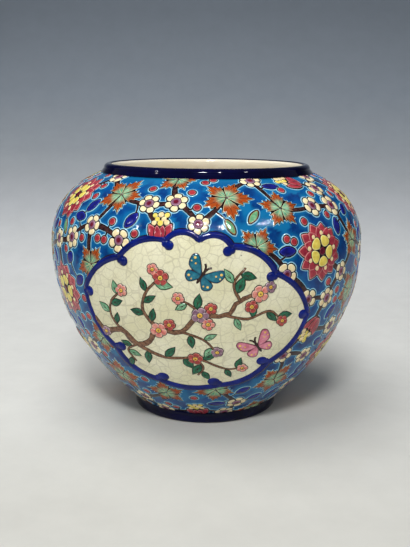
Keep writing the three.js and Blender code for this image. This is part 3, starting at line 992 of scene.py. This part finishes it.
# The glaze thins along the drawing, so the ground turns to turquoise near every stroke and motif
run_to(blue, turquoise)
thinning = 4 * mm
drawn_on = [(tip, 2 * mm) for tip in tips] + taken
near = KDTree(len(drawn_on))
for at, (place, _) in enumerate(drawn_on):
    near.insert(place, at)
near.balance()
thins = ground.data.attributes.new("fade", "FLOAT", "POINT")
for vert, value in zip(ground.data.vertices, thins.data):
    clear = min(far - drawn_on[at][1] for _, at, far in near.find_n(vert.co, 8))
    edge = min(vert.co.z - foot_height, neck_height - vert.co.z) * 0.6
    value.value = max(0, 1 - max(0, min(clear, edge)) / thinning)

# The picture in each panel: a gnarled branch in blossom with twigs and leaves, each filled with a drop
# of enamel inside a fine brown line.
def shares(*points):
    return [Vector((x * panel_half_width, y * panel_half_height)) for x, y in points]


def threaded(points, steps, closed=False):
    """A smooth line through points."""
    row = [points[-1], *points, *points[:2]]
    if not closed:
        row = [2 * points[0] - points[1], *points, 2 * points[-1] - points[-2]]
    smoothed = []
    for a, b, c, d in zip(row, row[1:], row[2:], row[3:]):
        bow, twist = 2 * a - 5 * b + 4 * c - d, 3 * b - a - 3 * c + d
        for t in (step / steps for step in range(steps)):
            smoothed.append(0.5 * (2 * b + (c - a) * t + bow * t**2 + twist * t**3))
    return smoothed if closed else [*smoothed, points[-1]]


main_branch = shares((-0.9, -0.16), (-0.76, -0.3), (-0.6, -0.22), (-0.45, -0.38), (-0.34, -0.3))
main_branch += shares((-0.26, -0.12), (-0.08, -0.1), (0.06, 0.13), (0.26, 0.15), (0.36, 0.33), (0.52, 0.42))
# Each twig is a row of points, its width where it leaves the branch and how many leaves grow on it
twigs = (
    (shares((-0.45, -0.38), (-0.2, -0.5), (0.05, -0.46), (0.3, -0.6), (0.44, -0.58)), 2.6, 6),
    (shares((-0.26, -0.12), (-0.4, 0.1), (-0.38, 0.32), (-0.27, 0.5)), 2.6, 5),
    (shares((-0.6, -0.22), (-0.7, -0.06), (-0.7, 0.12), (-0.6, 0.28)), 1.7, 4),
    (shares((-0.08, -0.1), (0.1, -0.18), (0.22, -0.34)), 1.6, 3),
    (shares((0.26, 0.15), (0.44, 0.12), (0.62, 0.22), (0.74, 0.1)), 1.7, 4),
    (shares((0.06, 0.13), (0.0, 0.22), (-0.12, 0.3)), 1.5, 2),
    (shares((0.36, 0.33), (0.3, 0.52), (0.38, 0.7)), 1.6, 3),
    (shares((-0.45, -0.38), (-0.54, -0.5), (-0.46, -0.66)), 1.6, 3),
    (shares((0.05, -0.46), (0.12, -0.6), (0.08, -0.74)), 1.4, 2),
)
# Each blossom is its place, its reach in millimetres and its enamel
sprays = (
    (-0.26, -0.12, 6.4, 2),
    (-0.175, -0.03, 4.6, 6),
    (0.06, 0.13, 6.2, 7),
    (0.13, 0.03, 4.8, 2),
    (0.14, 0.22, 4.4, 6),
    (0.52, 0.42, 6.6, 2),
    (0.46, 0.27, 4.8, 6),
    (0.6, 0.5, 4.2, 7),
    (-0.27, 0.5, 5.6, 6),
    (-0.34, 0.58, 4.2, 2),
    (-0.6, 0.28, 4.8, 2),
    (0.05, -0.46, 5.8, 6),
    (0.44, -0.58, 4.4, 2),
    (0.22, -0.34, 4.6, 7),
    (0.74, 0.1, 4.4, 6),
    (-0.12, 0.3, 4.4, 2),
    (-0.76, -0.3, 4.6, 7),
)
fine = section([(-1.45, -0.1), (-1.35, 0.1), (-1, 0.2), (-0.5, 0.4)], [(0, 0.54)])
fine_skins = [0, 0, 1, 1, 1, 1, 0, 0, 0]
picture_bed = 0.14 * mm


def picture_leaf(length, width, skin):
    bm = new_drawing()
    half = [(0, 0), (0.14, 0.26), (0.36, 0.5), (0.6, 0.44), (0.82, 0.2)]
    shape = [*half, (1, 0), *[(u, -v) for u, v in reversed(half[1:])]]
    shape = [Vector(((u - 0.5) * length, v * width)) for u, v in shape]
    bed(bm, [shape], 0.5 * mm, picture_bed, 32, 0)
    drops(bm, [shape], skin)
    ribs = [((-0.5, -0.16), (0.34, -0.1), (0.34, 0.1), (-0.5, 0.16))]
    ribs += [((-0.2, s * 0.1), (0.1, s * 1.3), (0.13, s * 1.2), (-0.12, s * 0.05)) for s in (1, -1)]
    for corners in ribs:
        rib = [Vector((u * length, v * mm)) for u, v in corners]
        drop(bm, rib, [(1, 0.3 * mm), (1, 0.54 * mm), (0.8, 0.58 * mm)], 0)
    return drawing(bm)


def picture_blossom(reach, skin):
    bm = new_drawing()
    ring = ring_of(5, 0.2 * reach, reach, 0.78 * reach, -0.3, hand.uniform(0, 72), 0.1)
    bed(bm, [*ring, circle(origin, 0.6 * reach, 20)], 0.5 * mm, 0.34 * mm, 60, 0)
    drops(bm, ring, skin, 0.24 * mm)
    tier(bm, [circle(origin, 0.3 * reach, 12)], 0.4, 0.74, 16, 3, 0.46)
    drops(bm, [circle(origin, 0.1 * reach, 8)], 0, 0.52 * mm)
    return drawing(bm)


def moved(mesh, at, degrees=0.0):
    mesh.transform(Matrix.Translation((*at, 0)) @ Matrix.Rotation(math.radians(degrees), 4, "Z"))
    return mesh


def gnarled(points, first, last, steps, crook):
    """A path with crooks in it, and the knotted bark along it, which thins from first to last."""
    path = []
    for point in threaded(points, steps):
        path.append(point + crook * mm * Vector((hand.uniform(-1, 1), hand.uniform(-1, 1))))
    widths = np.linspace(first, last, len(path)) * mm * [hand.uniform(0.82, 1.2) for _ in path]
    return path, ribbon(path, widths, fine, fine_skins)


def picture_branch():
    parts = [gnarled(main_branch, 4.6, 2.2, 4, 0.6)[1]]
    for points, width, leaves in twigs:
        path, twig = gnarled(points, width, 0.8, 5, 0.15)
        parts.append(twig)
        for at in range(leaves):
            here = round((at + 0.6) / leaves * (len(path) - 2))
            ahead = path[here + 1] - path[here]
            aside = hand.uniform(42, 66) * (1 if at % 2 else -1)
            degrees = math.degrees(math.atan2(ahead.y, ahead.x)) + aside
            length = hand.uniform(9, 13) * mm
            way = Vector((math.cos(math.radians(degrees)), math.sin(math.radians(degrees))))
            leaf_mesh = picture_leaf(length, length * hand.uniform(0.42, 0.52), hand.choice((4, 4, 5)))
            parts.append(moved(leaf_mesh, path[here] + way * (length / 2 + 0.6 * mm), degrees))
    for x, y, reach, skin in sprays:
        parts.append(moved(picture_blossom(reach * mm, skin), shares((x, y))[0]))
    return parts


fine_line = glaze("sepia_line", (62, 38, 30), (34, 20, 18), 500, 0.2)
bark_brown = glaze("branch_bark", (150, 108, 78), (78, 50, 38), 620, 0.2)
pink = enamel("blossom_pink", (236, 168, 150), (210, 96, 92), (250, 218, 200), 420)
rose_red = enamel("blossom_rose_red", (196, 84, 76), (148, 46, 50), (236, 160, 140), 420)
plum = enamel("blossom_plum", (168, 130, 146), (120, 84, 108), (226, 206, 206), 420)
orange = enamel("blossom_eye", (244, 204, 84), (224, 150, 50), (250, 226, 130))
deep_green = enamel("leaf_deep_green", (40, 124, 88), (12, 74, 54), (20, 74, 54), 380)
soft_green = enamel("leaf_soft_green", (156, 206, 166), (96, 160, 118), (60, 124, 84), 380)
picture_skins = [fine_line, bark_brown, pink, orange, deep_green, soft_green, rose_red, plum]
for side, turn in sides:
    parts = [laid(part, turn, panel_up, panel_tilt, on_panel=True) for part in picture_branch()]
    gathered(f"{side}_picture_branch", parts, picture_skins, "branch_enamel", f"{side}_panel_branch")

# The butterflies: two to each panel, one teal and one rose, their four wings filled cell by cell and dotted
# with small drops at the edges.
butterfly_reach = 13.5 * mm
fore_wing = [(0.06, 0.02), (0.4, 0.5), (0.75, 0.8), (1, 0.62), (0.86, 0.1), (0.3, -0.04)]
hind_wing = [(0.06, 0.0), (0.5, -0.06), (0.76, -0.16), (0.72, -0.48), (0.4, -0.62), (0.06, -0.22)]
# Each spot is its place on the right wings and its radius in millimetres
wing_spots = ((0.78, 0.56, 1.0), (0.6, 0.34, 0.7), (0.84, 0.34, 0.6), (0.56, -0.34, 0.9), (0.36, -0.42, 0.6))
wing_body = [(0.07 * math.sin(turn), -0.08 + 0.4 * math.cos(turn)) for turn in around(14)]
feeler = [(0.02, 0.28), (0.08, 0.46), (0.2, 0.58)]


def butterfly():
    bm = new_drawing()
    wings = []
    for shape in (fore_wing, hind_wing):
        for flip in (1, -1):
            points = [Vector((x * flip, y)) * (butterfly_reach - 0.5 * mm) for x, y in shape]
            wings.append(threaded(points, 4, closed=True))
    body = [Vector(point) * butterfly_reach for point in wing_body]
    bed(bm, [*wings, body], 0.35 * mm, picture_bed, 120, 0)
    drops(bm, wings, 1)
    for x, y, size in wing_spots:
        for flip in (1, -1):
            drops(bm, [circle(Vector((x * flip, y)) * butterfly_reach, size * mm, 10)], 2, 0.16 * mm)
    drops(bm, [body], 0, 0.14 * mm)
    return drawing(bm)


teal = enamel("wing_teal", (40, 130, 150), (16, 84, 110), (20, 50, 84), 350)
rose = enamel("wing_rose", (232, 156, 172), (206, 110, 134), (140, 60, 88), 350)
wing_yellow = glaze("wing_spot", (250, 220, 120), (240, 190, 90), 350, 0.12)
for side, turn in sides:
    for colour, skin, at, spin in (("teal", teal, (0.05, 0.58), -0.5), ("rose", rose, (0.55, -0.24), 0.6)):
        parts = [butterfly()]
        for flip in (1, -1):
            path = threaded([Vector((x * flip, y)) * butterfly_reach for x, y in feeler], 4)
            parts.append(ribbon(path, [0.7 * mm] * len(path), fine, [0] * len(fine_skins)))
        parts = [moved(part, shares(at)[0], math.degrees(spin)) for part in parts]
        parts = [laid(part, turn, panel_up, panel_tilt, on_panel=True) for part in parts]
        name, skins = f"{side}_{colour}", [fine_line, skin, wing_yellow]
        gathered(f"{name}_wings", parts, skins, f"{colour}_enamel", f"{name}_butterfly")

# The floor and the backdrop: one sheet of pale grey card that runs forward under the vase and curves up
# behind it. Its grey carries painted light and shade: lighter towards the back of the floor, and darker
# towards its top and its far sides, where less of the light reaches it.
def card(name):
    """Matt card, faintly cloudy, whose painted light and shade change with its height and distance to the
    back.
    """
    material, tree, shader = new_material(name, 0.9)
    place = add_node(tree, "TexCoord", "Object")
    away = add_node(tree, "VectorMath", "Value", {0: place, 1: (0, 0.25, 1)}, operation="DOT_PRODUCT")
    grey = add_node(tree, "ValToRGB", "Color", {"Fac": add_node(tree, "Math", "Value", {0: away, 1: 0.1})})
    # The ramp's greys are painted light and shade, from the front of the floor to the top of the backdrop
    painted_falloff_ramp = grey.node.color_ramp.elements
    painted_falloff_ramp[0].color = srgb((199, 198, 191))
    painted_falloff_ramp[1].color = srgb((105, 113, 122))
    painted_falloff_ramp[1].position = 0.8
    for up, colour in (
        (0.05, (201, 200, 193)),
        (0.09, (219, 219, 213)),
        (0.19, (229, 229, 225)),
        (0.24, (224, 225, 223)),
        (0.29, (210, 212, 212)),
        (0.35, (189, 192, 195)),
        (0.41, (168, 172, 176)),
        (0.48, (150, 156, 162)),
        (0.6, (130, 138, 147)),
    ):
        painted_falloff_ramp.new(up).color = srgb(colour)
    cloudy = add_node(tree, "TexNoise", "Fac", {"Vector": place, "Scale": 30, "Detail": 6, "Roughness": 0.65})
    shade = remap(tree, cloudy, 0.35, 0.65, 0.97, 1.02)
    shaded = add_node(tree, "VectorMath", "Vector", {0: grey, 1: shade}, operation="MULTIPLY")
    # Painted shade: the card's grey darkens towards its far sides
    across = add_node(tree, "SeparateXYZ", "X", {"Vector": place})
    aside = add_node(tree, "Math", "Value", {0: across}, operation="ABSOLUTE")
    painted_side_shade = remap(tree, aside, 0.45, 0.95, 1, 0.3, "SMOOTHSTEP")
    side_shaded_grey = add_node(tree, "VectorMath", "Vector", {0: shaded, 1: painted_side_shade}, operation="MULTIPLY")
    tree.links.new(side_shaded_grey, shader["Base Color"])
    return material


card_half_width = 2
sheet = bmesh.new()
rising = arc(Vector((0.35, 0)), Vector((1.1, 0)), Vector((1.25, 1.6)), 24)
left_side = [sheet.verts.new((-card_half_width, y, z)) for y, z in [(-2.5, 0), *rising]]
left_edges = [sheet.edges.new(pair) for pair in zip(left_side, left_side[1:])]
right_side = only(BMVert, bmesh.ops.extrude_edge_only(sheet, edges=left_edges))
bmesh.ops.translate(sheet, verts=right_side, vec=(2 * card_half_width, 0, 0))
bmesh.ops.recalc_face_normals(sheet, faces=sheet.faces)
smooth(sheet)
sweep = placed("backdrop", sheet, [card("grey_card")])

# The light: a broad soft lamp overhead and two in front give the even light, and four small strips only draw
# the sharp glints along the lip and on the glaze.
lamps_aim = Vector((0, 0, 0.11))
# Each lamp is its place, its width and depth, its power and what doesn't see it
for name, at, width, depth, power, unseen in (
    ("top_lamp", (-0.3, -0.15, 1.5), 1.1, 1.1, 15, "visible_glossy"),
    ("front_lamp", (-0.15, -1.7, 1.0), 1.2, 1.2, 4, "visible_glossy"),
    ("fill_lamp", (0.04, -1.0, 1.05), 0.3, 0.1, 8.5, "visible_glossy"),
    ("middle_strip", (-0.01, -1.0, 1.05), 0.16, 0.05, 15, "visible_diffuse"),
    ("right_strip", (0.34, -0.97, 1.05), 0.08, 0.05, 4, "visible_diffuse"),
    ("left_glint", (-1.1, -0.76, 1.05), 0.05, 0.06, 3.2, "visible_diffuse"),
    ("right_glint", (0.8, -0.6, 1.05), 0.06, 0.04, 1.8, "visible_diffuse"),
):
    light = bpy.data.lights.new(name, "AREA")
    light.shape = "RECTANGLE"
    light.size = width
    light.size_y = depth
    light.energy = power
    lamp = bpy.data.objects.new(name, light)
    lamp.location = at
    lamp.rotation_euler = (lamps_aim - Vector(at)).to_track_quat("-Z", "Y").to_euler()
    setattr(lamp, unseen, False)
    bpy.context.scene.collection.objects.link(lamp)
world = bpy.data.worlds.new("room")
world.use_nodes = True
background = world.node_tree.nodes["Background"].inputs
background["Color"].default_value = srgb((205, 210, 218))
background["Strength"].default_value = 0.26
bpy.context.scene.world = world
bpy.context.scene.view_settings.view_transform = "Standard"

# The camera: a little above the lip and a little to the right of the panel's middle, looking slightly down.
camera_turn = math.radians(4.7)
camera_reach = 0.6057
camera_height = 0.2326
camera_swing = math.radians(0.09)
camera_tip = math.radians(78.4)
camera_roll = math.radians(0.45)
camera_lens = bpy.data.cameras.new("camera")
camera_lens.lens = 48.7
camera_lens.sensor_width = 36
camera_lens.clip_start = 0.01
camera = bpy.data.objects.new("camera", camera_lens)
camera.location = (camera_reach * math.sin(camera_turn), -camera_reach * math.cos(camera_turn), camera_height)
camera_aim = Matrix.Rotation(camera_turn + camera_swing, 3, "Z") @ Matrix.Rotation(camera_tip, 3, "X")
camera.rotation_euler = (camera_aim @ Matrix.Rotation(camera_roll, 3, "Z")).to_euler()
bpy.context.scene.collection.objects.link(camera)
bpy.context.scene.camera = camera
